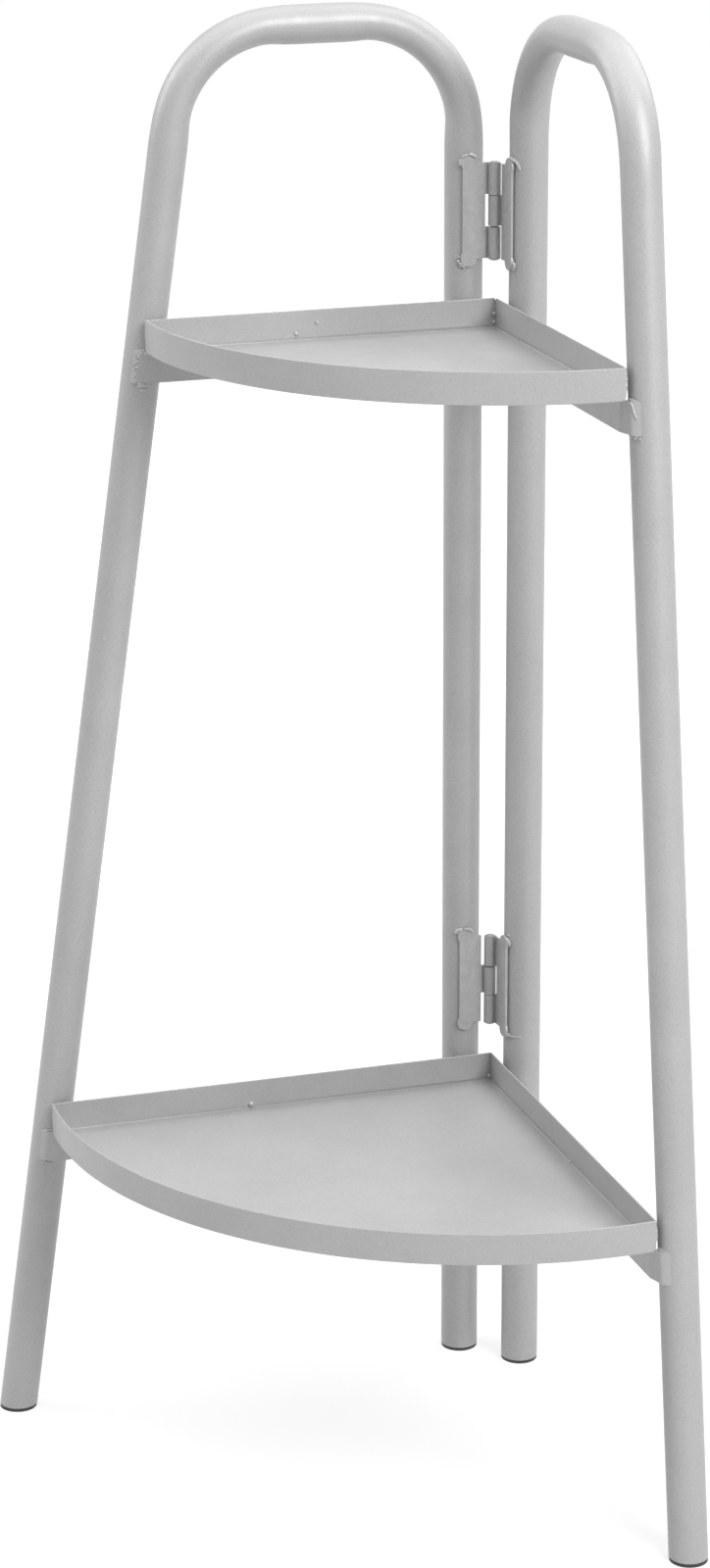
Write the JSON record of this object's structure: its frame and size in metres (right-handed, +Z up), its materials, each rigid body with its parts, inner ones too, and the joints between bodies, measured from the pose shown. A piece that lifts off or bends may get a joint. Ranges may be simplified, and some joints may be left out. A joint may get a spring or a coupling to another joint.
{
  "type": "folding corner plant shelf",
  "caption": "Folding corner plant shelf: bent tube frames hinged at a right angle, with fan-shaped sheet metal trays resting on flat crossbars.",
  "frame": {"origin": "on the floor, under the middle of the whole shelf", "axes": "+Z up; the shelf opens towards -Y and its hinged corner is at +Y; +X is to the right as seen from the open front"},
  "size_m": [0.5192, 0.3298, 0.937],
  "materials": {
    "powder_coat": "light grey satin powder coat",
    "coated_weld": "powder coat over weld beads",
    "coated_pin": "thin powder coat over steel",
    "black_plug": "black polythene"
  },
  "bodies": {
    "left_frame": {"left_frame_tube": "powder_coat", "left_upper_crossbar": "powder_coat", "left_lower_crossbar": "powder_coat", "upper_hinge_left_leaf": "powder_coat", "lower_hinge_left_leaf": "powder_coat", "left_back_foot_plug": "black_plug", "left_front_foot_plug": "black_plug", "left_hinge_welds": "coated_weld", "left_crossbar_welds": "coated_weld"},
    "right_frame": {"right_frame_tube": "powder_coat", "right_upper_crossbar": "powder_coat", "right_lower_crossbar": "powder_coat", "upper_hinge_right_leaf": "powder_coat", "lower_hinge_right_leaf": "powder_coat", "right_back_foot_plug": "black_plug", "right_front_foot_plug": "black_plug", "right_hinge_welds": "coated_weld", "right_crossbar_welds": "coated_weld"},
    "hinge_pins": {"upper_hinge_pin": "coated_pin", "lower_hinge_pin": "coated_pin"},
    "upper_tray": {"upper_tray_pan": "powder_coat", "upper_tray_rim": "powder_coat", "upper_tray_welds": "coated_weld"},
    "lower_tray": {"lower_tray_pan": "powder_coat", "lower_tray_rim": "powder_coat", "lower_tray_welds": "coated_weld"}
  },
  "joints": [
    {"name": "fold", "type": "hinge", "parent": "left_frame", "child": "right_frame", "pos_m": [0, 0.15053, 0.8021], "axis": [0, 0, -1], "range_deg": [0, 90]},
    {"name": "pin_turn", "type": "hinge", "parent": "left_frame", "child": "hinge_pins", "pos_m": [0, 0.15053, 0.8021], "axis": [0, 0, -1], "range_deg": [0, 45]},
    {"name": "upper_tray_slide", "type": "slide", "parent": "hinge_pins", "child": "upper_tray", "axis": [0, -1, 0], "range_m": [0, 0.268]},
    {"name": "lower_tray_slide", "type": "slide", "parent": "hinge_pins", "child": "lower_tray", "axis": [0, -1, 0], "range_m": [0, 0.351]}
  ],
  "couplings": [
    {"joint": "pin_turn", "follows": "fold", "ratio": 0.5},
    {"joint": "upper_tray_slide", "follows": "fold", "m_per_rad": 0.17},
    {"joint": "lower_tray_slide", "follows": "fold", "m_per_rad": 0.223}
  ]
}
